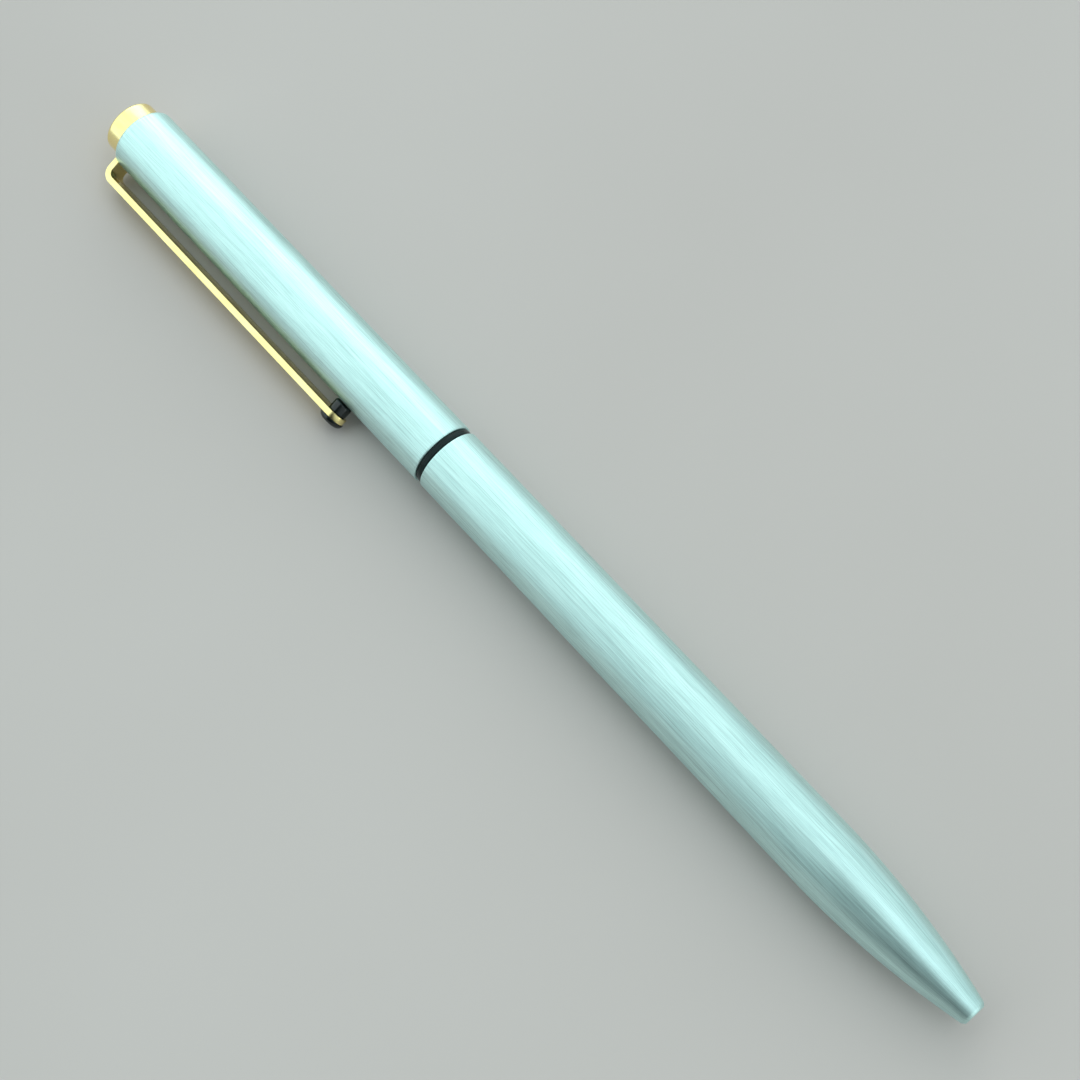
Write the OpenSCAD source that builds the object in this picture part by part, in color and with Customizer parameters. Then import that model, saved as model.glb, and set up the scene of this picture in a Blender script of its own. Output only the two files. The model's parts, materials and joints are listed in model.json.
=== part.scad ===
// Slim twist-action rollerball pen, lying on its barrel and its clip button.
// The pen axis runs along X with the nose towards +X.  Distances "behind the
// nose" are measured from the flat nose end towards the finial.  The origin is
// on the resting surface, under the middle of the pen's box.

/* [Barrels] */
// Length from the flat nose end to the top of the finial
overall_l = 134; // [133:0.5:138]
// Outside diameter of both barrels
barrel_d = 7.8; // [7.7:0.05:8.0]
// Wall thickness of both barrels
barrel_wall = 0.4; // [0.35:0.01:0.42]
// Distance of the lower barrel's rear edge behind the nose
lower_l = 77.9; // [77.2:0.1:78.2]
// Length of the rounded nose
nose_l = 21.6; // [20:0.1:26]
// Diameter of the flat nose end
nose_end_d = 2.85; // [2.7:0.05:3.0]
// Radius of the rounded shoulder at the top of the upper barrel
shoulder_r = 0.55; // [0.3:0.05:0.8]

/* [Centre ring] */
// Width of the black ring between the barrels
ring_w = 0.8; // [0.6:0.05:1.2]
// How far the ring lies below the barrel surface
ring_recess = 0.18; // [0.05:0.01:0.25]

/* [Finial] */
// Diameter of the finial
finial_d = 6.5; // [6:0.1:7]
// Height of the finial above the barrel
finial_h = 2.5; // [1.8:0.1:3]
// Radius of the finial's outer edge
finial_edge_r = 0.45; // [0.2:0.05:0.8]
// Height of the finial's domed top
finial_dome_h = 0.2; // [0.1:0.05:0.4]

/* [Clip] */
// Width of the clip strip
clip_w = 2.8; // [2.4:0.1:3.2]
// Thickness of the clip strip
clip_t = 0.7; // [0.5:0.05:0.8]
// Distance of the strip's outer face from the pen axis, at the knee
clip_rho = 6.08; // [6.0:0.04:6.4]
// How much nearer the barrel the strip is at its tip
clip_lean = 0.13; // [0:0.01:0.2]
// Outer bend radius of the knee
knee_r = 1.4; // [1:0.1:1.8]
// Distance of the clip's rounded tip behind the nose
clip_tip_a = 89.6; // [88:0.1:95]
// Height of the button's dome above the strip
button_h = 0.65; // [0.65:0.05:0.95]
// Diameter of the button
button_d = 3; // [2.4:0.1:3.2]
// Clearance between the button's foot and the barrel
button_gap = 0.08; // [0.05:0.01:0.2]

/* [Refill] */
// Diameter of the refill tube
refill_d = 5.2; // [5:0.05:5.25]
// Diameter of the writing ball
ball_d = 0.7; // [0.5:0.05:0.8]
// How far the ball sits inside the nose when retracted
retracted_depth = 0.8; // [0.5:0.1:1.2]
// Travel of the refill when the pen is twisted
refill_travel = 3.2; // [2.8:0.1:3.4]
// Turn of the upper barrel that gives the full travel
twist_angle = 180; // [120:15:180]

/* [Return spring] */
// Wire diameter of the return spring
spring_wire_d = 0.36; // [0.3:0.02:0.4]
// Mean coil diameter of the return spring
spring_mean_d = 3.5; // [3.4:0.05:3.6]
// Number of turns of the return spring
spring_turns = 8; // [6:1:9]

/* [Hidden] */
$fn = 96;

// Clearances, and the overshoot of a cutter past the face it cuts
press_gap = 0.02;
running_gap = 0.05;
barrel_gap = 0.04;
overshoot = 0.5;

// Main radii, from the outside in
barrel_r = barrel_d / 2;
bore_r = barrel_r - barrel_wall;
refill_r = refill_d / 2;
housing_bore_r = refill_r + 2 * running_gap;
sleeve_out_r = bore_r - press_gap;
housing_tail_r = housing_bore_r + 0.35;
sleeve_in_r = housing_tail_r + running_gap;
collar_r = bore_r - 0.08;
nose_end_r = nose_end_d / 2;

// Places along the pen, behind the nose
barrel_top_a = overall_l - finial_h;
ring_a = lower_l + barrel_gap;
upper_a = ring_a + ring_w + barrel_gap;
thread_a = 68.5;
insert_end_a = lower_l - 0.6;
collar_l = 9.2;
collar_end_a = upper_a + collar_l;
washer_t = 0.5;
sleeve_l = 23.6;
sleeve_a = collar_end_a + washer_t + running_gap;
sleeve_end_a = sleeve_a + sleeve_l;
retainer_a = sleeve_end_a + running_gap;
retainer_t = 0.6;
tail_land_l = 1.2;
housing_end_a = retainer_a + retainer_t + tail_land_l;
pin_a = 104;
anchor_l = 9.7;
anchor_a = barrel_top_a - anchor_l;
lip_l = 2.1;
lip_a = barrel_top_a - lip_l;
clip_root_a = barrel_top_a - clip_t;

// Nose: a circular arc that is tangent to the barrel
nose_drop = barrel_r - nose_end_r;
nose_arc_r = (nose_l * nose_l + nose_drop * nose_drop) / (2 * nose_drop);
nose_slope = nose_l / (nose_arc_r - nose_drop);
nose_chamfer_l = 0.35;
nose_chamfer_w = 0.2;

// Bores that step down towards the point: radius, and the distance where each starts
nose_bores = [[1.0, -overshoot], [1.45, 3], [2.2, 8], [2.8, 13], [bore_r - 0.25, 18.5], [bore_r, 22]];

// Threads between the barrel insert and the housing
thread_pitch = 0.8;
thread_depth = 0.25;
thread_turns = 9;
spigot_r = housing_bore_r + 0.4;
thread_root_r = spigot_r - 0.6 * thread_depth;
insert_in_r = spigot_r + running_gap;

// Friction ring and the groove it sits in
o_ring_r = 0.2;
o_ring_groove_a = upper_a + 3.6;
o_ring_groove_w = 0.7;
o_ring_groove_r = collar_r - 0.35;

// Retaining ring in its groove
retainer_groove_r = housing_tail_r - 0.2;
retainer_gap_w = 1.6;

// Drive pin and its slots
pin_r = 0.6;
pin_half_l = bore_r - 0.1;
guide_slot_w = 2 * (pin_r + running_gap);
guide_end = pin_r + 0.15;
cam_slot_r = pin_r + 0.12;
cam_steps = 18;
plunger_end_a = pin_a + 3.5;
plunger_hollow_a = pin_a + 1.5;
plunger_hollow_r = 1.8;

// Finial stud
stud_r = 0.98;
stud_hole_r = stud_r + press_gap;
stud_a = anchor_a + 2;
stud_end_a = barrel_top_a + 1.3;
ring_hole_r = 1.05;
lip_r = 2.6;
lip_fit_r = lip_r - running_gap;

// Clip: the button's dome rests on the surface that the barrel lies on
button_r = button_d / 2;
button_edge_r = 0.6;
button_stem_r = 0.5;
button_a = clip_tip_a + clip_w / 2;
button_rho = clip_rho - clip_lean + button_h;
button_flat_r = button_r - button_edge_r;
edge_rho = button_rho - button_edge_r;
clip_drop = asin((barrel_r - button_edge_r) / norm([edge_rho, button_flat_r]))
            - atan2(button_flat_r, edge_rho);
clip_angle = 270 - clip_drop;
hinge_gap = 0.03;
hinge_rho = barrel_r + 0.35;
knee_in_r = knee_r - clip_t;
button_foot_r = 1.1;

// Refill, from the ball backwards
ball_r = ball_d / 2;
ball_a = retracted_depth + ball_r;
ball_rim_a = ball_a - 0.1;
ball_rim_r = ball_r + 0.08;
ink_channel_r = 0.15;
shank_r = 0.9;
shank_a = 3.9;
shank_end_a = 10;
holder_r = 1.3;
holder_a = 7;
holder_end_a = 23;
refill_shoulder_a = 17.3;
refill_flange_t = 1;
wick_r = 0.35;
wick_a = shank_end_a + 0.2;
wick_end_a = holder_end_a + 6.8;
plug_r = refill_r - 0.32;
refill_end_a = 98.8;
plug_rim_a = refill_end_a - 0.8;
plug_a = refill_end_a - 4.8;

// Pen axis: its height, and its place across the box
axis_z = barrel_r;
clip_reach = edge_rho * cos(clip_drop) + button_flat_r * sin(clip_drop) + button_edge_r;
axis_y = (clip_reach - barrel_r) / 2;
nose_x = overall_l / 2;

// ---------- placing and shared shapes ----------

// Local +Z runs from the nose to the finial, local +X points up
module on_axis(a = 0) {
    translate([nose_x - a, axis_y, axis_z])
        rotate([0, -90, 0])
            children();
}

// Local +X points out through the clip
module on_clip() {
    on_axis()
        rotate([0, 0, clip_angle])
            children();
}

// A plain round body between two distances behind the nose
module rod(r, a0, a1) {
    translate([0, 0, a0])
        cylinder(r = r, h = a1 - a0);
}

// A cutter that runs past both ends
module bore(r, a0, a1) {
    rod(r, a0 - overshoot, a1 + overshoot);
}

module tube(r_out, r_in, a0, a1) {
    difference() {
        rod(r_out, a0, a1);
        bore(r_in, a0, a1);
    }
}

// Rectangle from the axis outwards, for turned profiles
module strip_2d(r, a0, a1) {
    translate([0, a0])
        square([r, a1 - a0]);
}

// The same with its outer rear corner rounded
module rounded_2d(r, a0, a1, edge_r) {
    strip_2d(r, a0, a1 - edge_r);
    strip_2d(r - edge_r, a0, a1);
    intersection() {
        translate([r - edge_r, a1 - edge_r])
            circle(edge_r);
        strip_2d(r, a0, a1);
    }
}

// Turned ridges of a screw thread, crests at crest_r
module thread_ridges(root_r, crest_r, a0) {
    ridge = [for (i = [0 : thread_turns - 1]) each [
        [root_r, a0 + i * thread_pitch],
        [crest_r, a0 + (i + 0.4) * thread_pitch],
        [crest_r, a0 + (i + 0.6) * thread_pitch]]];
    core_r = min(root_r, crest_r) - thread_depth;
    end_a = a0 + thread_turns * thread_pitch;
    rotate_extrude()
        polygon(concat([[core_r, a0]], ridge, [[root_r, end_a], [core_r, end_a]]));
}

// ---------- lower barrel ----------

module lower_barrel_2d() {
    arc_steps = 720;
    difference() {
        union() {
            strip_2d(barrel_r, nose_l, lower_l);
            intersection() {
                strip_2d(barrel_r, 0, nose_l);
                translate([barrel_r - nose_arc_r, nose_l])
                    circle(nose_arc_r, $fn = arc_steps);
            }
        }
        polygon([[nose_end_r - nose_chamfer_w, 0],
                 [nose_end_r + nose_slope * nose_chamfer_l, nose_chamfer_l],
                 [barrel_r, nose_chamfer_l],
                 [barrel_r, -overshoot],
                 [nose_end_r - nose_chamfer_w, -overshoot]]);
    }
}

module lower_barrel() {
    color("lightblue")
        on_axis()
            difference() {
                rotate_extrude()
                    lower_barrel_2d();
                for (step = nose_bores)
                    rod(step[0], step[1], lower_l + overshoot);
            }
}

module barrel_insert() {
    color("goldenrod")
        on_axis()
            difference() {
                rod(sleeve_out_r, thread_a, insert_end_a);
                bore(insert_in_r, thread_a, insert_end_a);
            }
}

// Coil spring: points follow a helix whose end turns lie close together
function coil_a(turn, a0, a1) = lookup(turn, [
    [0, a0],
    [1, a0 + spring_wire_d * 1.05],
    [spring_turns - 1, a1 - spring_wire_d * 1.05],
    [spring_turns, a1]]);

module return_spring() {
    turn_steps = 20;
    wire_sides = 8;
    wire_r = spring_wire_d / 2;
    mean_r = spring_mean_d / 2;
    rings = spring_turns * turn_steps;
    start_a = nose_bores[2][1] + wire_r + running_gap;
    end_a = refill_shoulder_a - wire_r - running_gap;
    points = [for (i = [0 : rings], k = [0 : wire_sides - 1])
        let (turn = 360 * i / turn_steps,
             side = 360 * k / wire_sides,
             r = mean_r + wire_r * cos(side))
        [r * cos(turn), r * sin(turn), coil_a(i / turn_steps, start_a, end_a) + wire_r * sin(side)]];
    walls = [for (i = [0 : rings - 1], k = [0 : wire_sides - 1])
        let (next = (k + 1) % wire_sides, base = i * wire_sides)
        [base + k, base + next, base + wire_sides + next, base + wire_sides + k]];
    first_cap = [for (k = [wire_sides - 1 : -1 : 0]) k];
    last_cap = [for (k = [0 : wire_sides - 1]) rings * wire_sides + k];
    color("silver")
        on_axis()
            polyhedron(points, concat(walls, [first_cap, last_cap]), convexity = 10);
}

// ---------- mechanism core ----------

module mechanism_housing() {
    color("goldenrod")
        on_axis()
            difference() {
                union() {
                    rod(thread_root_r, thread_a + 0.5, upper_a);
                    thread_ridges(thread_root_r, spigot_r, thread_a + 1);
                    rod(collar_r, upper_a, collar_end_a);
                    rod(housing_tail_r, collar_end_a, housing_end_a);
                }
                bore(housing_bore_r, thread_a, housing_end_a);
                tube(collar_r + overshoot, o_ring_groove_r, o_ring_groove_a, o_ring_groove_a + o_ring_groove_w);
                tube(housing_tail_r + overshoot, retainer_groove_r, retainer_a, retainer_a + retainer_t);
                translate([-guide_slot_w / 2, -bore_r, pin_a - refill_travel - guide_end])
                    cube([guide_slot_w, 2 * bore_r, refill_travel + 2 * guide_end]);
            }
}

module centre_ring() {
    color("darkslategray")
        on_axis()
            tube(barrel_r - ring_recess, thread_root_r + press_gap, ring_a, ring_a + ring_w);
}

module friction_o_ring() {
    color("black")
        on_axis()
            translate([0, 0, o_ring_groove_a + o_ring_groove_w / 2])
                rotate_extrude()
                    translate([bore_r - o_ring_r - press_gap, 0])
                        circle(o_ring_r, $fn = 32);
}

module thrust_washer() {
    color("ivory")
        on_axis()
            tube(collar_r, housing_tail_r + press_gap, collar_end_a, collar_end_a + washer_t);
}

module retaining_ring() {
    color("dimgray")
        on_axis()
            difference() {
                tube(collar_r, retainer_groove_r + press_gap, retainer_a + press_gap, retainer_a + retainer_t - press_gap);
                translate([0, -retainer_gap_w / 2, retainer_a - overshoot])
                    cube([bore_r, retainer_gap_w, retainer_t + 2 * overshoot]);
            }
}

// ---------- upper barrel ----------

module upper_barrel() {
    notch_w = clip_w + 0.1;
    color("lightcyan")
        difference() {
            on_axis()
                difference() {
                    rotate_extrude()
                        rounded_2d(barrel_r, upper_a, barrel_top_a, shoulder_r);
                    rod(bore_r, upper_a - overshoot, lip_a);
                    bore(lip_r, upper_a, barrel_top_a);
                }
            on_clip()
                translate([lip_r - overshoot, -notch_w / 2, clip_root_a - running_gap])
                    cube([barrel_r, notch_w, clip_t + 1]);
        }
}

// Two opposed helical slots, drilled right across, turn the pin's place into travel
module cam_sleeve() {
    color("tan")
        on_axis()
            difference() {
                tube(sleeve_out_r, sleeve_in_r, sleeve_a, sleeve_end_a);
                for (step = [0 : cam_steps])
                    translate([0, 0, pin_a - refill_travel * step / cam_steps])
                        rotate([90, 0, twist_angle * step / cam_steps])
                            cylinder(r = cam_slot_r, h = 2 * barrel_r, center = true, $fn = 32);
            }
}

module anchor_plug() {
    color("goldenrod")
        on_axis()
            difference() {
                union() {
                    rod(sleeve_out_r, anchor_a, lip_a - running_gap);
                    rod(lip_fit_r, anchor_a, clip_root_a - press_gap);
                }
                bore(stud_hole_r, anchor_a, clip_root_a);
            }
}

module clip_root() {
    color("gold")
        on_clip()
            difference() {
                union() {
                    rod(lip_fit_r - running_gap, clip_root_a, barrel_top_a);
                    translate([0, -clip_w / 2, clip_root_a])
                        cube([hinge_rho - hinge_gap, clip_w, clip_t]);
                }
                bore(ring_hole_r, clip_root_a, barrel_top_a);
            }
}

module finial() {
    dome_r = (finial_d * finial_d / 4 + finial_dome_h * finial_dome_h) / (2 * finial_dome_h);
    color("gold")
        on_axis()
            difference() {
                rotate_extrude()
                    intersection() {
                        rounded_2d(finial_d / 2, barrel_top_a, overall_l, finial_edge_r);
                        translate([0, overall_l - dome_r])
                            circle(dome_r, $fn = 360);
                        strip_2d(finial_d, barrel_top_a, overall_l);
                    }
                rod(stud_hole_r, barrel_top_a - overshoot, stud_end_a + 0.1);
            }
}

module finial_stud() {
    color("silver")
        on_axis()
            rod(stud_r, stud_a, stud_end_a);
}

// ---------- clip ----------

// Quarter of a flat ring: the bend between the clip's arm and its run
module clip_knee() {
    intersection() {
        rotate([90, 0, 0])
            difference() {
                cylinder(r = knee_r, h = clip_w, center = true);
                cylinder(r = knee_in_r, h = 2 * clip_w, center = true);
            }
        translate([0, -clip_w, 0])
            cube([knee_r, 2 * clip_w, knee_r]);
    }
}

// The long run, leaning in towards its rounded tip
module clip_run(top_a) {
    intersection() {
        rotate([90, 0, 0])
            linear_extrude(clip_w, center = true)
                polygon([[clip_rho - clip_t, top_a], [clip_rho, top_a],
                         [clip_rho - clip_lean, clip_tip_a], [clip_rho - clip_lean - clip_t, clip_tip_a]]);
        union() {
            translate([0, -clip_w, button_a])
                cube([2 * clip_rho, 2 * clip_w, top_a]);
            translate([0, 0, button_a])
                rotate([0, 90, 0])
                    cylinder(d = clip_w, h = 2 * clip_rho);
        }
    }
}

module clip_strip() {
    knee_rho = clip_rho - knee_r;
    knee_a = barrel_top_a - knee_r;
    lap = 0.02;
    color("gold")
        on_clip()
            difference() {
                union() {
                    translate([hinge_rho, -clip_w / 2, clip_root_a])
                        cube([knee_rho - hinge_rho + lap, clip_w, clip_t]);
                    translate([knee_rho, 0, knee_a])
                        clip_knee();
                    clip_run(knee_a + lap);
                }
                translate([0, 0, button_a])
                    rotate([0, 90, 0])
                        cylinder(r = button_stem_r + press_gap, h = 2 * clip_rho, $fn = 48);
            }
}

// Dome outside the strip, stem through it and foot towards the barrel
module clip_button() {
    face_rho = clip_rho - clip_lean;
    foot_rho = barrel_r + button_gap;
    color("black")
        on_clip()
            translate([0, 0, button_a])
                rotate([0, 90, 0])
                    rotate_extrude() {
                        strip_2d(button_stem_r, foot_rho, button_rho);
                        rounded_2d(button_r, face_rho + press_gap, button_rho, button_edge_r);
                        strip_2d(button_foot_r, foot_rho, face_rho - clip_t - press_gap);
                    }
}

// ---------- refill ----------

module refill_tube() {
    color("gainsboro")
        on_axis()
            tube(refill_r, plug_r + press_gap, refill_shoulder_a + refill_flange_t, plug_rim_a);
}

module ink_reservoir() {
    color("midnightblue")
        on_axis()
            difference() {
                rod(plug_r - press_gap, holder_end_a, plug_a - 0.2);
                rod(wick_r + press_gap, holder_end_a - overshoot, wick_end_a + 0.2);
            }
}

module feed_wick() {
    color("navy")
        on_axis()
            rod(wick_r, wick_a, wick_end_a);
}

module point_holder() {
    color("black")
        on_axis()
            difference() {
                union() {
                    rod(holder_r, holder_a, holder_end_a);
                    rod(refill_r, refill_shoulder_a, refill_shoulder_a + refill_flange_t);
                    rod(plug_r, refill_shoulder_a, holder_end_a);
                }
                rod(shank_r, holder_a - overshoot, shank_end_a + 0.1);
                rod(wick_r + press_gap, holder_a, holder_end_a + overshoot);
            }
}

module refill_point() {
    color("silver")
        on_axis()
            difference() {
                rotate_extrude()
                    polygon([[0, ball_rim_a], [ball_rim_r, ball_rim_a], [shank_r, shank_a],
                             [shank_r, shank_end_a], [0, shank_end_a]]);
                translate([0, 0, ball_a])
                    sphere(ball_r + press_gap);
                rod(ink_channel_r, ball_a, shank_end_a + overshoot);
            }
}

module rear_plug() {
    color("black")
        on_axis() {
            rod(plug_r, plug_a, plug_rim_a);
            rod(refill_r, plug_rim_a, refill_end_a);
        }
}

module plunger() {
    color("ivory")
        on_axis()
            difference() {
                rod(refill_r, refill_end_a, plunger_end_a);
                rod(plunger_hollow_r, plunger_hollow_a, plunger_end_a + overshoot);
                translate([0, 0, pin_a])
                    rotate([90, 0, 0])
                        cylinder(r = pin_r, h = 2 * barrel_r, center = true, $fn = 48);
            }
}

module drive_pin() {
    color("silver")
        on_axis()
            translate([0, 0, pin_a])
                rotate([90, 0, 0])
                    cylinder(r = pin_r, h = 2 * pin_half_l, center = true, $fn = 48);
}

module writing_ball() {
    color("dimgray")
        on_axis()
            translate([0, 0, ball_a])
                sphere(ball_r, $fn = 48);
}

lower_barrel();
barrel_insert();
return_spring();
mechanism_housing();
centre_ring();
friction_o_ring();
thrust_washer();
retaining_ring();
upper_barrel();
cam_sleeve();
anchor_plug();
clip_root();
finial();
finial_stud();
clip_strip();
clip_button();
refill_tube();
ink_reservoir();
feed_wick();
point_holder();
refill_point();
rear_plug();
plunger();
drive_pin();
writing_ball();
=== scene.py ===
"""A slim twist-action pen, lying on its barrel and its clip button: brushed pale metal, gold, gloss black."""

import json
import math

import bpy
from mathutils import Matrix, Vector


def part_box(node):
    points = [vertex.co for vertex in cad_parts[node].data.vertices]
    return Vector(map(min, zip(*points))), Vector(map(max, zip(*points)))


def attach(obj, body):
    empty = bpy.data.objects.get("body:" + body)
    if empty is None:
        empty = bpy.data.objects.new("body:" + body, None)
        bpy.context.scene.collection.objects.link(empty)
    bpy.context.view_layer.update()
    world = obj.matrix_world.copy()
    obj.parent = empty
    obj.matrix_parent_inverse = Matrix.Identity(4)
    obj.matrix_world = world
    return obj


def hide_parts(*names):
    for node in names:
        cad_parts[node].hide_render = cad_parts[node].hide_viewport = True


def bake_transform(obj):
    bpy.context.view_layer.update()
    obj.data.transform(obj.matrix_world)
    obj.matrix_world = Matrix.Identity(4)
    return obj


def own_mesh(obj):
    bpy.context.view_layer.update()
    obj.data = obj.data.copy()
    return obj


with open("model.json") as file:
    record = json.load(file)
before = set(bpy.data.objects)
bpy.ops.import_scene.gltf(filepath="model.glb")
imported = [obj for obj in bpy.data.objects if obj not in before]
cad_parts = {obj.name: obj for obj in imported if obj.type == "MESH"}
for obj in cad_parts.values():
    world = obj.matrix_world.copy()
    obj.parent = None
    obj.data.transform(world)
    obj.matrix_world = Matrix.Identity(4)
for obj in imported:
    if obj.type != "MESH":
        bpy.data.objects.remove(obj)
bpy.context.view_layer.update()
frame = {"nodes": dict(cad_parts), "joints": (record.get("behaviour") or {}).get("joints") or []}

MM = 0.001
MERGE = 1e-7


# ---------- places taken from the frame ----------

barrel_low, barrel_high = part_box("lower_barrel")
upper_low, upper_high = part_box("upper_barrel")
ring_low, ring_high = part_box("centre_ring")
finial_low, finial_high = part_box("finial")
strip_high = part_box("clip_strip")[1]

NOSE_X = barrel_high.x
AXIS = Vector((0, (barrel_low.y + barrel_high.y) / 2, (barrel_low.z + barrel_high.z) / 2))
BARREL_R = (barrel_high.z - barrel_low.z) / 2 / MM
RING_R = (ring_high.z - ring_low.z) / 2 / MM
FINIAL_R = (finial_high.z - finial_low.z) / 2 / MM


def behind_nose(x):
    """Distance behind the nose end, in mm, of a place along X."""
    return (NOSE_X - x) / MM


LOWER_END = behind_nose(barrel_low.x)
RING_START, RING_END = behind_nose(ring_high.x), behind_nose(ring_low.x)
UPPER_START, UPPER_END = behind_nose(upper_high.x), behind_nose(upper_low.x)
FINIAL_END = behind_nose(finial_low.x)
CLIP_TIP = behind_nose(strip_high.x)

clip_joint = next(j for j in frame["joints"] if j["name"] == "clip_flex")
clip_out = Vector(clip_joint["axis"]).cross(Vector((1, 0, 0)))
CLIP_ANGLE = math.atan2(clip_out.y, clip_out.z)

# Local X runs from the nose to the finial on the pen axis
PEN = Matrix.Translation((NOSE_X, AXIS.y, AXIS.z)) @ Matrix.Rotation(math.pi, 4, "Z")
# Local Z points out through the clip, and local X runs from the nose to the finial
CLIP = PEN @ Matrix.Rotation(CLIP_ANGLE, 4, "X")


# ---------- camera ----------

CAMERA_AZIMUTH, CAMERA_ELEVATION = math.radians(48.62), math.radians(67.64)
CAMERA_OFFSET = Vector((65.69, -54.42, 204.81))
LENS, SENSOR = 70.5, 36


def make_camera():
    camera_data = bpy.data.cameras.new("camera")
    camera_data.lens = LENS
    camera_data.sensor_width = SENSOR
    camera_data.clip_start = 0.01
    camera = bpy.data.objects.new("camera", camera_data)
    bpy.context.scene.collection.objects.link(camera)
    camera.location = AXIS + CAMERA_OFFSET * MM
    camera.rotation_euler = (math.pi / 2 - CAMERA_ELEVATION, 0, CAMERA_AZIMUTH)
    bpy.context.scene.camera = camera


make_camera()


# ---------- modelling by hand: turning, extruding, coiling ----------

def start_point(name):
    """A new mesh that is one selected point at the origin, in edit mode."""
    bpy.ops.object.select_all(action="DESELECT")
    bpy.ops.mesh.primitive_plane_add(size=MM)
    piece = bpy.context.object
    piece.name = name
    piece.data.name = name
    bpy.ops.object.mode_set(mode="EDIT")
    bpy.ops.mesh.select_all(action="SELECT")
    bpy.ops.mesh.merge(type="CENTER")
    return piece


def pull(step):
    """Extrudes what is selected by a step in mm."""
    bpy.ops.mesh.extrude_region_move(TRANSFORM_OT_translate={"value": Vector(step) * MM})


def tidy_mesh():
    """Merges doubles and points the faces outwards, in edit mode."""
    bpy.ops.mesh.select_all(action="SELECT")
    bpy.ops.mesh.remove_doubles(threshold=MERGE)
    bpy.ops.mesh.normals_make_consistent(inside=False)


def leave_edit():
    bpy.ops.object.mode_set(mode="OBJECT")


def seat(piece, place):
    """Puts a piece built at the origin in its place, and keeps that place in its mesh."""
    bpy.ops.object.select_all(action="DESELECT")
    piece.select_set(True)
    bpy.context.view_layer.objects.active = piece
    piece.matrix_world = place
    bpy.ops.object.transform_apply(location=True, rotation=True, scale=True)
    return piece


def smooth(piece, angle=30):
    bpy.ops.object.select_all(action="DESELECT")
    piece.select_set(True)
    bpy.context.view_layer.objects.active = piece
    bpy.ops.object.shade_smooth_by_angle(angle=math.radians(angle))
    return piece


def turned(name, outline, steps=96, place=PEN):
    """A turned piece. The outline is a closed loop of (distance along the axis, radius) points in mm."""
    piece = start_point(name)
    points = [*outline, outline[0]]
    bpy.ops.transform.translate(value=(points[0][0] * MM, 0, points[0][1] * MM))
    for last, point in zip(points, points[1:]):
        pull((point[0] - last[0], 0, point[1] - last[1]))
    bpy.ops.mesh.select_all(action="SELECT")
    bpy.ops.mesh.remove_doubles(threshold=MERGE)
    bpy.ops.mesh.select_all(action="SELECT")
    bpy.ops.mesh.spin(steps=steps, angle=2 * math.pi, center=(0, 0, 0), axis=(1, 0, 0))
    tidy_mesh()
    leave_edit()
    return smooth(seat(piece, place))


def arc(centre, radius, start, end, count):
    """Points of a circular arc in an outline, from one angle to another, in degrees from the axis."""
    angles = [math.radians(start + (end - start) * i / count) for i in range(count + 1)]
    return [(centre[0] + radius * math.cos(t), centre[1] + radius * math.sin(t)) for t in angles]


def cut(piece, cutter):
    """Cuts one piece out of another."""
    modifier = piece.modifiers.new("cut", "BOOLEAN")
    modifier.object = cutter
    modifier.operation = "DIFFERENCE"
    modifier.solver = "EXACT"
    bpy.ops.object.select_all(action="DESELECT")
    piece.select_set(True)
    bpy.context.view_layer.objects.active = piece
    bpy.ops.object.modifier_apply(modifier=modifier.name)
    bpy.data.objects.remove(cutter)
    return piece


def block(name, low, high, place):
    """A squared block between two corners in mm."""
    bpy.ops.object.select_all(action="DESELECT")
    size = Vector(high) - Vector(low)
    middle = (Vector(high) + Vector(low)) / 2
    bpy.ops.mesh.primitive_cube_add(size=1, location=middle * MM, scale=size * MM)
    piece = bpy.context.object
    piece.name = name
    bpy.ops.object.transform_apply(location=True, rotation=True, scale=True)
    return seat(piece, place)


# ---------- procedural finishes ----------

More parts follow.
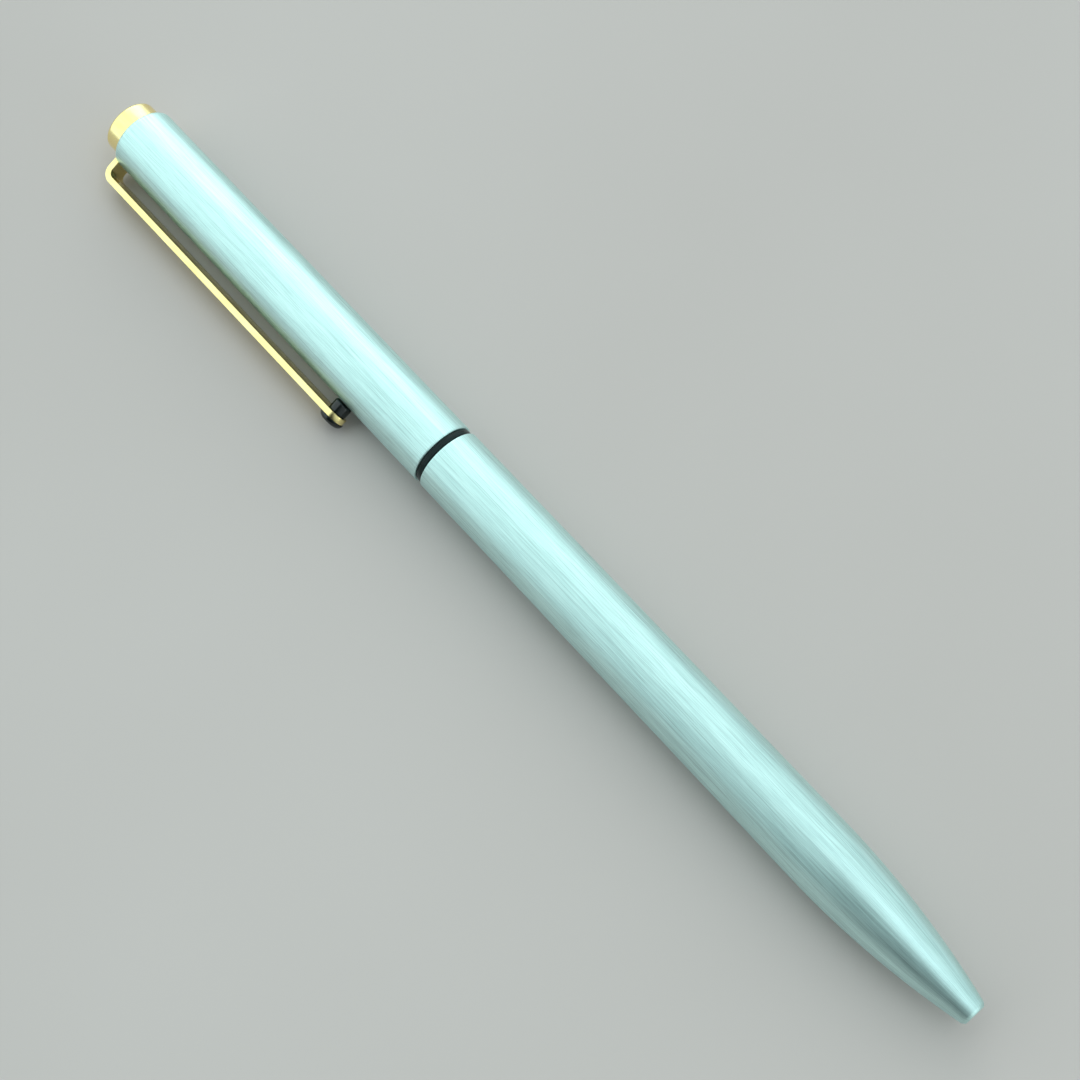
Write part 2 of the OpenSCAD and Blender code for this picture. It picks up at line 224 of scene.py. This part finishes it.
class Finish:
    """A material and short ways to add its nodes."""

    def __init__(self, name, metallic=0.0, roughness=0.4, **inputs):
        self.material = bpy.data.materials.new(name)
        self.material.use_nodes = True
        self.tree = self.material.node_tree
        self.shader = self.tree.nodes["Principled BSDF"]
        self.set("Metallic", metallic)
        self.set("Roughness", roughness)
        for key, value in inputs.items():
            self.set(key.replace("_", " "), value)
        self.coordinates = self.node("ShaderNodeTexCoord").outputs["Object"]

    def set(self, socket, value):
        self.shader.inputs[socket].default_value = value

    def node(self, kind, **settings):
        made = self.tree.nodes.new(kind)
        for key, value in settings.items():
            setattr(made, key, value)
        return made

    def link(self, output, target):
        self.tree.links.new(output, target)

    def math(self, operation, a, b):
        made = self.node("ShaderNodeMath", operation=operation)
        for socket, value in zip(made.inputs, (a, b)):
            if isinstance(value, (int, float)):
                socket.default_value = value
            else:
                self.link(value, socket)
        return made.outputs[0]

    def vector(self, operation, a, b=(0.0, 0.0, 0.0)):
        made = self.node("ShaderNodeVectorMath", operation=operation)
        for socket, value in zip(made.inputs, (a, b)):
            if isinstance(value, tuple):
                socket.default_value = value
            else:
                self.link(value, socket)
        return made.outputs["Vector"]

    def on_axis(self, scale):
        """Object coordinates measured from the pen axis, each scaled, in units of 1/m."""
        centred = self.vector("SUBTRACT", self.coordinates, (0.0, AXIS.y, AXIS.z))
        return self.vector("MULTIPLY", centred, scale)

    def round_axis(self, along, around):
        """Coordinates that follow a turned surface: along the pen, and round it whatever the radius."""
        sideways = self.vector("NORMALIZE", self.on_axis((0.0, 1.0, 1.0)))
        ring = self.vector("MULTIPLY", sideways, (0.0, around, around))
        length = self.on_axis((along, 0.0, 0.0))
        return self.vector("ADD", ring, length)

    def noise(self, coordinates, detail=3.0, rough=0.5):
        """Noise at the scale of its coordinates."""
        made = self.node("ShaderNodeTexNoise")
        made.inputs["Scale"].default_value = 1.0
        made.inputs["Detail"].default_value = detail
        made.inputs["Roughness"].default_value = rough
        self.link(coordinates, made.inputs["Vector"])
        return made.outputs["Fac"]

    def ramp(self, value, stops):
        """Colours at places from 0 to 1."""
        made = self.node("ShaderNodeValToRGB")
        elements = made.color_ramp.elements
        while len(elements) < len(stops):
            elements.new(0.5)
        for element, (place, colour) in zip(elements, stops):
            element.position = place
            element.color = (*colour, 1)
        self.link(value, made.inputs["Fac"])
        return made.outputs["Color"]

    def span(self, value, low, high):
        """A number from 0 to 1 spread over low to high."""
        made = self.node("ShaderNodeMapRange")
        made.inputs["To Min"].default_value = low
        made.inputs["To Max"].default_value = high
        self.link(value, made.inputs["Value"])
        return made.outputs["Result"]

    def relief(self, height, depth):
        """A bump of that depth in metres."""
        made = self.node("ShaderNodeBump")
        made.inputs["Strength"].default_value = 1.0
        made.inputs["Distance"].default_value = depth
        self.link(height, made.inputs["Height"])
        self.link(made.outputs["Normal"], self.shader.inputs["Normal"])

    def colour(self, output):
        self.link(output, self.shader.inputs["Base Color"])

    def roughness(self, output):
        self.link(output, self.shader.inputs["Roughness"])


def brushed_satin():
    """Pale cool metal brushed along the pen, with stray scratches that follow the nose."""
    finish = Finish("brushed_satin", metallic=1.0)
    fine = finish.noise(finish.round_axis(210.0, 46.0), detail=4.0, rough=0.65)
    broad = finish.noise(finish.round_axis(80.0, 19.0), detail=4.0, rough=0.6)
    cloud = finish.noise(finish.round_axis(38.0, 1.4), detail=3.0)
    streaks = finish.math("ADD", finish.math("MULTIPLY", fine, 0.6), finish.math("MULTIPLY", broad, 0.4))
    scratch = finish.noise(finish.round_axis(160.0, 60.0), detail=2.0, rough=0.4)
    scratch_from, scratch_depth = 0.64, 1.4
    peaks = finish.math("MAXIMUM", finish.math("SUBTRACT", scratch, scratch_from), 0.0)
    strays = finish.math("MULTIPLY", peaks, scratch_depth)
    grain = finish.math("SUBTRACT", streaks, strays)
    finish.colour(finish.ramp(grain, [(0.36, (0.44, 0.63, 0.62)), (0.50, (0.60, 0.83, 0.81)),
                                      (0.62, (0.71, 0.94, 0.92))]))
    rough = finish.math("ADD", finish.span(streaks, 0.30, 0.54), finish.span(cloud, -0.05, 0.05))
    finish.roughness(rough)
    finish.relief(grain, 0.000022)
    return finish.material


def gold_plate():
    """Polished gold with faint polishing marks."""
    finish = Finish("gold_plate", metallic=1.0)
    haze = finish.noise(finish.on_axis((300.0, 900.0, 900.0)), detail=3.0)
    marks = finish.noise(finish.on_axis((400.0, 4000.0, 4000.0)), detail=2.0)
    finish.colour(finish.ramp(haze, [(0.3, (0.96, 0.76, 0.32)), (0.7, (1.0, 0.85, 0.42))]))
    finish.roughness(finish.span(haze, 0.14, 0.26))
    finish.relief(marks, 0.0000015)
    return finish.material


def ring_lacquer():
    """Semi-gloss black, its base colour tinted teal as a painted reflection of the cool sky."""
    finish = Finish("ring_lacquer", Specular_IOR_Level=0.2)
    turn_marks = finish.noise(finish.round_axis(5200.0, 3.0), detail=2.0)
    # the teal in these blacks is painted reflection; the lacquer itself is black
    finish.colour(finish.ramp(turn_marks, [(0.3, (0.001, 0.007, 0.007)), (0.7, (0.003, 0.016, 0.016))]))
    finish.roughness(finish.span(turn_marks, 0.22, 0.34))
    finish.relief(turn_marks, 0.000003)
    return finish.material


def button_gloss():
    """Deep gloss black, moulded, with a soft orange peel."""
    finish = Finish("button_gloss")
    peel = finish.noise(finish.on_axis((1400.0, 1400.0, 1400.0)), detail=2.0)
    finish.colour(finish.ramp(peel, [(0.3, (0.003, 0.005, 0.005)), (0.7, (0.008, 0.011, 0.011))]))
    finish.roughness(finish.span(peel, 0.08, 0.16))
    finish.relief(peel, 0.000002)
    return finish.material


def turned_metal(name, dark, light, low, high, marks=6000.0):
    """Metal from the lathe, with fine rings round the axis."""
    finish = Finish(name, metallic=1.0)
    rings = finish.noise(finish.round_axis(marks, 1.0), detail=3.0)
    finish.colour(finish.ramp(rings, [(0.3, dark), (0.7, light)]))
    finish.roughness(finish.span(rings, low, high))
    finish.relief(rings, 0.000003)
    return finish.material


def moulded_plastic(name, dark, light, low, high):
    """Moulded plastic with a fine even grain."""
    finish = Finish(name)
    grain = finish.noise(finish.on_axis((3500.0, 3500.0, 3500.0)), detail=3.0)
    tone = finish.noise(finish.on_axis((150.0, 300.0, 300.0)), detail=2.0)
    finish.colour(finish.ramp(tone, [(0.3, dark), (0.7, light)]))
    finish.roughness(finish.span(grain, low, high))
    finish.relief(grain, 0.000004)
    return finish.material


def ink_fibre():
    """Bundled fibre soaked with ink."""
    finish = Finish("ink_fibre", roughness=0.85)
    strands = finish.noise(finish.on_axis((200.0, 9000.0, 9000.0)), detail=3.0)
    finish.colour(finish.ramp(strands, [(0.3, (0.006, 0.010, 0.05)), (0.7, (0.02, 0.035, 0.16))]))
    finish.relief(strands, 0.00004)
    return finish.material


def paint(material, *pieces):
    for piece in pieces:
        piece.data.materials.clear()
        piece.data.materials.append(material)


satin = brushed_satin()
gold = gold_plate()
black_ring = ring_lacquer()
black_gloss = button_gloss()
brass = turned_metal("turned_brass", (0.60, 0.42, 0.16), (0.80, 0.60, 0.27), 0.22, 0.40)
steel = turned_metal("turned_steel", (0.48, 0.49, 0.50), (0.66, 0.67, 0.68), 0.16, 0.32)
wire = turned_metal("spring_wire", (0.42, 0.43, 0.45), (0.62, 0.63, 0.65), 0.18, 0.34, marks=900.0)
carbide = turned_metal("carbide", (0.20, 0.20, 0.21), (0.30, 0.30, 0.31), 0.06, 0.14, marks=2500.0)
white_plastic = moulded_plastic("refill_white", (0.66, 0.69, 0.70), (0.76, 0.79, 0.80), 0.30, 0.44)
black_plastic = moulded_plastic("refill_black", (0.010, 0.011, 0.012), (0.020, 0.021, 0.023), 0.30, 0.46)
nylon = moulded_plastic("nylon", (0.70, 0.68, 0.60), (0.80, 0.78, 0.71), 0.38, 0.52)
rubber = moulded_plastic("rubber", (0.010, 0.010, 0.010), (0.020, 0.020, 0.020), 0.60, 0.78)
fibre = ink_fibre()


# ---------- lower barrel ----------

WALL = 0.4
BORE_R = BARREL_R - WALL
RIM_R = 0.10
NOSE_L, NOSE_END_R = 21.6, 1.425


def nose_radius(a):
    """Radius of the nose's one arc, which runs on from the barrel without a corner."""
    drop = BARREL_R - NOSE_END_R
    arc_r = (NOSE_L ** 2 + drop ** 2) / (2 * drop)
    return BARREL_R - arc_r + math.sqrt(arc_r ** 2 - (NOSE_L - a) ** 2)


def make_lower_barrel():
    nose_steps = 36
    edge_a, edge_r = 0.35, 0.2
    mouth_r, mouth_chamfer = 1.0, 0.03
    end_flat_r = NOSE_END_R - edge_r
    front = [(0.0, mouth_r + mouth_chamfer), (0.0, end_flat_r - 0.04), (0.03, end_flat_r + 0.01),
             (edge_a - 0.04, nose_radius(edge_a) - 0.02), (edge_a + 0.05, nose_radius(edge_a + 0.05))]
    curve = [NOSE_L * i / nose_steps for i in range(nose_steps + 1)]
    outside = [(a, nose_radius(a)) for a in curve if a > edge_a + 0.1]
    plain_stretch = (32.0, 45.0, 60.0, 72.0)
    body = [(a, BARREL_R) for a in plain_stretch]
    rear = [(LOWER_END - 2 * RIM_R, BARREL_R), (LOWER_END - RIM_R, BARREL_R),
            *arc((LOWER_END - RIM_R, BARREL_R - RIM_R), RIM_R, 60, 0, 2),
            (LOWER_END, BORE_R + 0.05), (LOWER_END - 0.05, BORE_R)]
    # Each step of the bore, from the back: where it is, and the radius in front of it
    bore_steps = [(22.0, BORE_R - 0.25), (18.5, 2.8), (13.0, 2.2), (8.0, 1.45), (3.0, mouth_r)]
    inside, radius = [], BORE_R
    for step_a, step_r in bore_steps:
        inside += [(step_a, radius), (step_a, step_r)]
        radius = step_r
    inside.append((mouth_chamfer, mouth_r))
    piece = turned("lower_barrel_shell", front + outside + body + rear + inside, steps=160)
    paint(satin, piece)
    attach(piece, "barrel")
    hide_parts("lower_barrel")


# ---------- upper barrel ----------

CLIP_W, CLIP_T = 2.8, 0.7


def make_upper_barrel():
    shoulder = 0.55
    lip_a, lip_r = UPPER_END - 2.1, 2.6
    notch_gap = 0.05
    front = [(UPPER_START + 0.05, BORE_R), (UPPER_START, BORE_R + 0.05),
             *arc((UPPER_START + RIM_R, BARREL_R - RIM_R), RIM_R, 180, 90, 3)]
    plain_stretch = (UPPER_START + 2 * RIM_R, 85.0, 95.0, 110.0, 124.0, 129.5, 130.4, 130.85)
    body = [(a, BARREL_R) for a in plain_stretch]
    top = [*arc((UPPER_END - shoulder, BARREL_R - shoulder), shoulder, 90, 0, 8),
           (UPPER_END, lip_r + 0.05), (UPPER_END - 0.05, lip_r)]
    inside = [(lip_a, lip_r), (lip_a, BORE_R)]
    piece = turned("upper_barrel_shell", front + body + top + inside, steps=160)
    notch = block("notch", (UPPER_END - CLIP_T - notch_gap, -CLIP_W / 2 - notch_gap, lip_r - 0.5),
                  (UPPER_END + 1, CLIP_W / 2 + notch_gap, BARREL_R + 1), CLIP)
    cut(piece, notch)
    smooth(piece)
    paint(satin, piece)
    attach(piece, "upper")
    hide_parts("upper_barrel")


# ---------- centre ring and finial ----------

def make_centre_ring():
    edge, inner_r = 0.08, 3.0
    outline = [(RING_START, inner_r), *arc((RING_START + edge, RING_R - edge), edge, 180, 90, 4),
               *arc((RING_END - edge, RING_R - edge), edge, 90, 0, 4), (RING_END, inner_r)]
    piece = turned("centre_ring_band", outline, steps=160)
    paint(black_ring, piece)
    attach(piece, "core")
    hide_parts("centre_ring")


def make_finial():
    edge, dome_h = 0.45, 0.2
    stud_r, hole_end = 1.0, UPPER_END + 1.4
    chamfer = 0.06
    dome_r = (FINIAL_R ** 2 + dome_h ** 2) / (2 * dome_h)
    flat_r = FINIAL_R - edge
    base = [(hole_end, 0.0), (hole_end, stud_r), (UPPER_END, stud_r), (UPPER_END, FINIAL_R - chamfer),
            (UPPER_END + chamfer, FINIAL_R)]
    side = [(UPPER_END + 0.7, FINIAL_R), (FINIAL_END - edge - 0.2, FINIAL_R)]
    rim_a = FINIAL_END - dome_r + math.sqrt(dome_r ** 2 - flat_r ** 2)
    rim = arc((rim_a - edge, flat_r), edge, 90, 12, 8)
    dome_rings = (2.4, 1.8, 1.2, 0.6, 0.0)
    dome = [(FINIAL_END - dome_r + math.sqrt(dome_r ** 2 - r ** 2), r) for r in dome_rings]
    piece = turned("finial_cap", base + side + rim + dome, steps=128)
    paint(gold, piece)
    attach(piece, "upper")
    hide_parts("finial")


# ---------- clip: one bent gold strip, and the button riveted through its tip ----------

KNEE_R = 1.4
KNEE_A = UPPER_END - KNEE_R
CLIP_RHO, CLIP_LEAN = 6.08, 0.13
TIP_R = CLIP_W / 2
TIP_TURNS = (12, 24, 36, 47, 57, 66, 74, 81, 86)
BUTTON_A = CLIP_TIP + TIP_R


def widen(factor):
    """Scales what is selected across the strip."""
    bpy.ops.transform.resize(value=(1, factor, 1))


def make_clip():
    """The strip's section goes up its arm, round the knee and along the run, and narrows round the tip."""
    arm_start, knee_rho = 2.0, CLIP_RHO - KNEE_R
    arm_heights = (3.0, 3.6, 3.8, 4.0, 4.2, 4.4, 4.55, knee_rho)
    edge_r, run_pieces = 0.11, 12
    bpy.ops.object.select_all(action="DESELECT")
    arm_foot = Vector((UPPER_END - CLIP_T / 2, 0, arm_start))
    bpy.ops.mesh.primitive_plane_add(size=1, location=arm_foot * MM)
    piece = bpy.context.object
    piece.name = "clip_spring_strip"
    bpy.ops.object.transform_apply(location=True, rotation=True, scale=True)
    bpy.ops.object.mode_set(mode="EDIT")
    bpy.ops.mesh.select_all(action="SELECT")
    bpy.ops.transform.resize(value=(CLIP_T * MM, CLIP_W * MM, 1))
    rho = arm_start
    for height in arm_heights:
        pull((0, 0, height - rho))
        rho = height
    knee_centre = Vector((KNEE_A, 0, knee_rho))
    bpy.ops.mesh.spin(steps=14, angle=math.pi / 2, center=knee_centre * MM, axis=(0, 1, 0))
    run = KNEE_A - BUTTON_A
    for _ in range(run_pieces):
        pull((-run / run_pieces, 0, -CLIP_LEAN / run_pieces))
    width, along = 1.0, 0.0
    for degrees in TIP_TURNS:
        turn = math.radians(degrees)
        pull((-(math.sin(turn) - along) * TIP_R, 0, 0))
        widen(math.cos(turn) / width)
        width, along = math.cos(turn), math.sin(turn)
    tidy_mesh()
    leave_edit()
    seat(piece, CLIP)
    bevel = piece.modifiers.new("rounded edges", "BEVEL")
    bevel.width = edge_r * MM
    bevel.segments = 3
    bevel.limit_method = "ANGLE"
    bevel.angle_limit = math.radians(40)
    bpy.ops.object.modifier_apply(modifier=bevel.name)
    smooth(piece, 35)
    paint(gold, piece)
    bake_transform(piece)
    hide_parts("clip_strip")


def make_clip_root():
    """The ring part of the clip, clamped between the finial and its plug."""
    edge, hole_r, ring_r = 0.06, 1.05, 2.5
    low, high = UPPER_END - CLIP_T, UPPER_END
    outline = [(low + edge, hole_r), (low, hole_r + edge), (low, ring_r - edge), (low + edge, ring_r),
               (high - edge, ring_r), (high, ring_r - edge), (high, hole_r + edge), (high - edge, hole_r)]
    piece = turned("clip_root_ring", outline, steps=96)
    paint(gold, piece)
    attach(piece, "upper")
    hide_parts("clip_root")


def make_button():
    """A round-edged head outside the strip, its rivet stem, and the foot that slides over cloth."""
    place = CLIP @ Matrix.Translation((BUTTON_A * MM, 0, 0)) @ Matrix.Rotation(-math.pi / 2, 4, "Y")
    head_r, head_h, head_edge_r = 1.5, 0.65, 0.6
    foot_r, foot_edge_r, stem_r = 1.1, 0.2, 0.5
    chamfer, under_chamfer = 0.08, 0.06
    slack, barrel_gap = 0.02, 0.08
    face = CLIP_RHO - CLIP_LEAN
    seat_low, seat_high = face - CLIP_T - slack, face + slack
    foot, top = BARREL_R + barrel_gap, face + head_h
    foot_outline = [(foot, 0.0), (foot, foot_r - foot_edge_r),
                    *arc((foot + foot_edge_r, foot_r - foot_edge_r), foot_edge_r, 180, 90, 5),
                    (seat_low - chamfer, foot_r), (seat_low, foot_r - chamfer)]
    stem_outline = [(seat_low, stem_r), (seat_high, stem_r)]
    head_outline = [(seat_high, head_r - under_chamfer), (seat_high + under_chamfer, head_r),
                    *arc((top - head_edge_r, head_r - head_edge_r), head_edge_r, 90, 0, 12),
                    (top, 0.5), (top, 0.0)]
    outline = foot_outline + stem_outline + head_outline
    piece = turned("clip_button_rivet", outline, steps=96, place=place)
    paint(black_gloss, piece)
    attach(piece, "clip")
    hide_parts("clip_button")


# ---------- mechanism and refill, seen when the lower barrel is off ----------

TUBE_R, TUBE_BORE_R = 2.6, 2.3
SHANK_R = 1.3


def refill_tube_ends():
    low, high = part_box("refill_tube")
    return behind_nose(high.x), behind_nose(low.x)


def make_refill_tube():
    start, end = refill_tube_ends()
    chamfer = 0.05
    outline = [(start, TUBE_BORE_R), (start, TUBE_R - chamfer), (start + chamfer, TUBE_R), (40.0, TUBE_R),
               (70.0, TUBE_R), (end - chamfer, TUBE_R), (end, TUBE_R - chamfer), (end, TUBE_BORE_R)]
    piece = turned("refill_body", outline, steps=96)
    paint(white_plastic, piece)
    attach(piece, "refill")
    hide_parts("refill_tube")


def make_point_holder():
    """The moulded front of the refill: a slim shank with grip grooves, a shoulder and a plug in the tube."""
    front, shank_start, shank_end = 7.0, 8.6, 12.0
    front_r, front_edge_r = 1.14, 0.16
    grooves, groove_start, groove_pitch, groove_r = 4, 12.6, 0.9, 1.2
    tube_start = refill_tube_ends()[0]
    shoulder, shoulder_chamfer = tube_start - 1.0, 0.1
    plug_end, plug_r = 23.0, 2.28
    point_socket, point_socket_r, ink_way_r = 10.1, 0.9, 0.4
    nose = [(front, point_socket_r), (front, front_r),
            *arc((front + front_edge_r, front_r), front_edge_r, 180, 90, 4), (shank_start, SHANK_R)]
    grip = [(shank_end, SHANK_R)]
    for i in range(grooves):
        at = groove_start + i * groove_pitch
        grip += [(at, SHANK_R), (at + 0.1, groove_r), (at + 0.35, groove_r), (at + 0.45, SHANK_R)]
    collar = [(16.6, SHANK_R), (shoulder, SHANK_R), (shoulder, TUBE_R - shoulder_chamfer),
              (shoulder + shoulder_chamfer, TUBE_R), (tube_start - shoulder_chamfer, TUBE_R),
              (tube_start, TUBE_R - shoulder_chamfer)]
    plug = [(tube_start, plug_r), (plug_end, plug_r), (plug_end, ink_way_r)]
    socket = [(point_socket, ink_way_r), (point_socket, point_socket_r)]
    piece = turned("point_holder_body", nose + grip + collar + plug + socket, steps=96)
    paint(black_plastic, piece)
    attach(piece, "refill")
    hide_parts("point_holder")


def make_refill_point():
    """The turned metal point: a stepped cone with the ball's socket, and a shank with one groove."""
    ball_low, ball_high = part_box("writing_ball")
    ball_a = behind_nose((ball_low.x + ball_high.x) / 2)
    ball_r = (ball_high.x - ball_low.x) / 2 / MM
    rim, ball_gap = ball_a - 0.1, 0.015
    shank_r, groove_r, shank_end, ink_way_r = 0.9, 0.86, 10.0, 0.15
    cone = [(rim, 0.365), (rim, 0.42), (rim + 0.05, 0.43), (2.3, 0.61), (2.35, 0.66), (3.85, 0.89)]
    shank = [(3.95, shank_r), (6.2, shank_r), (6.25, groove_r), (6.45, groove_r), (6.5, shank_r),
             (shank_end, shank_r)]
    ink_way = [(shank_end, ink_way_r), (ball_a + 0.35, ink_way_r)]
    socket = arc((ball_a, 0.0), ball_r + ball_gap, 106, 60, 6)
    piece = turned("refill_point_cone", cone + shank + ink_way + socket[::-1], steps=96)
    paint(steel, piece)
    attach(piece, "refill")
    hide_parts("refill_point")


def coil(name, wire_r, mean_r, start, pitch, turns):
    """An open length of coil: a ring of wire section wound round the axis, at one pitch."""
    bpy.ops.object.select_all(action="DESELECT")
    bpy.ops.mesh.primitive_circle_add(vertices=14, radius=wire_r * MM, rotation=(math.pi / 2, 0, 0),
                                      location=(start * MM, 0, mean_r * MM))
    piece = bpy.context.object
    piece.name = name
    bpy.ops.object.transform_apply(location=True, rotation=True, scale=True)
    winding = piece.modifiers.new("winding", "SCREW")
    winding.axis = "X"
    winding.angle = 2 * math.pi
    winding.screw_offset = pitch * MM
    winding.iterations = turns
    winding.steps = winding.render_steps = 36
    bpy.ops.object.modifier_apply(modifier=winding.name)
    return piece


def make_spring():
    """The return spring, with a closed turn at each end, built at one length; in the pen it shortens as the
    refill comes forward.
    """
    low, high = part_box("return_spring")
    wire_r, coil_r = 0.18, (high.z - low.z) / 2 / MM
    mean_r = coil_r - wire_r
    start, end = behind_nose(high.x) + wire_r, behind_nose(low.x) - wire_r
    closed_pitch, open_turns = 2.1 * wire_r, 6
    open_pitch = (end - start - 2 * closed_pitch) / open_turns
    piece = coil("refill_return_spring", wire_r, mean_r, start, closed_pitch, 1)
    others = [coil("open_turns", wire_r, mean_r, start + closed_pitch, open_pitch, open_turns),
              coil("end_turn", wire_r, mean_r, end - closed_pitch, closed_pitch, 1)]
    bpy.ops.object.select_all(action="DESELECT")
    for part in (piece, *others):
        part.select_set(True)
    bpy.context.view_layer.objects.active = piece
    bpy.ops.object.join()
    bpy.ops.object.mode_set(mode="EDIT")
    bpy.ops.mesh.select_all(action="SELECT")
    bpy.ops.mesh.remove_doubles(threshold=MERGE)
    bpy.ops.mesh.fill_holes(sides=0)
    tidy_mesh()
    leave_edit()
    smooth(seat(piece, PEN), 50)
    paint(wire, piece)
    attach(piece, "barrel")
    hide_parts("return_spring")
    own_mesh(piece)


def make_insert():
    """The brass insert in the lower barrel's mouth, with its cut thread and a chamfered mouth."""
    low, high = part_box("barrel_insert")
    start, end = behind_nose(high.x), behind_nose(low.x)
    inner, outer, edge = 3.16, 3.47, 0.05
    pitch, depth, margin, plain = 0.8, 0.13, 0.5, 0.9
    cuts = []
    for i in range(int((end - start - plain) / pitch)):
        at = end - margin - i * pitch
        cuts += [(at, inner), (at - 0.3, inner + depth), (at - 0.5, inner + depth), (at - 0.75, inner)]
    outline = [(start, outer - edge), (start + edge, outer), (end - edge, outer), (end, outer - edge),
               (end, inner + 0.1), (end - 0.15, inner), *cuts, (start, inner)]
    piece = turned("barrel_insert_bush", outline, steps=128)
    paint(brass, piece)
    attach(piece, "barrel")
    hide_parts("barrel_insert")


def finish_inner_pieces():
    """The pieces that keep their frame shape get their own finishes."""
    finishes = {"mechanism_housing": brass, "friction_o_ring": rubber, "thrust_washer": nylon,
                "retaining_ring": wire, "cam_sleeve": brass, "anchor_plug": brass, "finial_stud": steel,
                "ink_reservoir": fibre, "feed_wick": fibre, "rear_plug": black_plastic, "plunger": nylon,
                "drive_pin": steel, "writing_ball": carbide}
    for name, material in finishes.items():
        paint(material, frame["nodes"][name])


make_lower_barrel()
make_upper_barrel()
make_centre_ring()
make_finial()
make_clip()
make_clip_root()
make_button()
make_refill_tube()
make_point_holder()
make_refill_point()
make_spring()
make_insert()
finish_inner_pieces()


# ---------- floor and light ----------

def make_floor():
    bpy.ops.object.select_all(action="DESELECT")
    bpy.ops.mesh.primitive_plane_add(size=6)
    floor = bpy.context.object
    floor.name = "floor"
    finish = Finish("floor_paper", roughness=0.6)
    tone = finish.noise(finish.on_axis((9.0, 9.0, 9.0)), detail=3.0)
    finish.colour(finish.ramp(tone, [(0.3, (0.53, 0.47, 0.45)), (0.7, (0.57, 0.51, 0.49))]))
    paint(finish.material, floor)


def area_light(name, place, aim, size, power, colour):
    data = bpy.data.lights.new(name, "AREA")
    data.shape = "RECTANGLE"
    data.size, data.size_y = size
    data.energy = power
    data.color = colour
    light = bpy.data.objects.new(name, data)
    bpy.context.scene.collection.objects.link(light)
    light.location = place
    light.rotation_euler = (Vector(aim) - Vector(place)).to_track_quat("-Z", "Y").to_euler()


def make_world():
    """A soft cool room: bright on the finial's side, half bright behind the pen, dim in front."""
    world = bpy.data.worlds.new("studio")
    bpy.context.scene.world = world
    world.use_nodes = True
    tree = world.node_tree
    backdrop = tree.nodes["Background"]
    direction = tree.nodes.new("ShaderNodeTexCoord")

    def glow(towards, near, far, strength):
        dot = tree.nodes.new("ShaderNodeVectorMath")
        dot.operation = "DOT_PRODUCT"
        dot.inputs[1].default_value = towards
        tree.links.new(direction.outputs["Generated"], dot.inputs[0])
        fade = tree.nodes.new("ShaderNodeMapRange")
        fade.interpolation_type = "SMOOTHSTEP"
        for socket, value in (("From Min", near), ("From Max", far), ("To Min", 0.0), ("To Max", strength)):
            fade.inputs[socket].default_value = value
        tree.links.new(dot.outputs["Value"], fade.inputs["Value"])
        return fade.outputs["Result"]

    ambient, sky_colour = 0.04, (0.84, 1.0, 1.0, 1)
    finial_side = glow((-1.0, 0.0, 0.10), 0.08, 0.38, 1.40)
    behind_pen = glow((0.62, 0.55, 0.45), 0.10, 0.66, 0.80)
    total = tree.nodes.new("ShaderNodeMath")
    total.operation = "MAXIMUM"
    for output, socket in zip((finial_side, behind_pen), total.inputs):
        tree.links.new(output, socket)
    lifted = tree.nodes.new("ShaderNodeMath")
    lifted.operation = "ADD"
    lifted.inputs[1].default_value = ambient
    tree.links.new(total.outputs[0], lifted.inputs[0])
    tree.links.new(lifted.outputs[0], backdrop.inputs["Strength"])
    backdrop.inputs["Color"].default_value = sky_colour


def make_lights():
    make_world()
    area_light("window", (-0.58, 0.46, 0.42), (-0.01, 0, 0), (0.6, 0.5), 0.8, (1.0, 0.98, 0.95))
    area_light("overhead", (0.26, 0.12, 0.72), (0.05, 0, 0), (0.46, 0.20), 0.42, (0.90, 1.0, 1.05))
    area_light("low_card", (0.36, 0.06, 0.10), (0.067, 0, 0), (0.25, 0.12), 0.10, (0.92, 1.0, 1.0))


make_floor()
make_lights()
bpy.context.scene.view_settings.view_transform = "Standard"
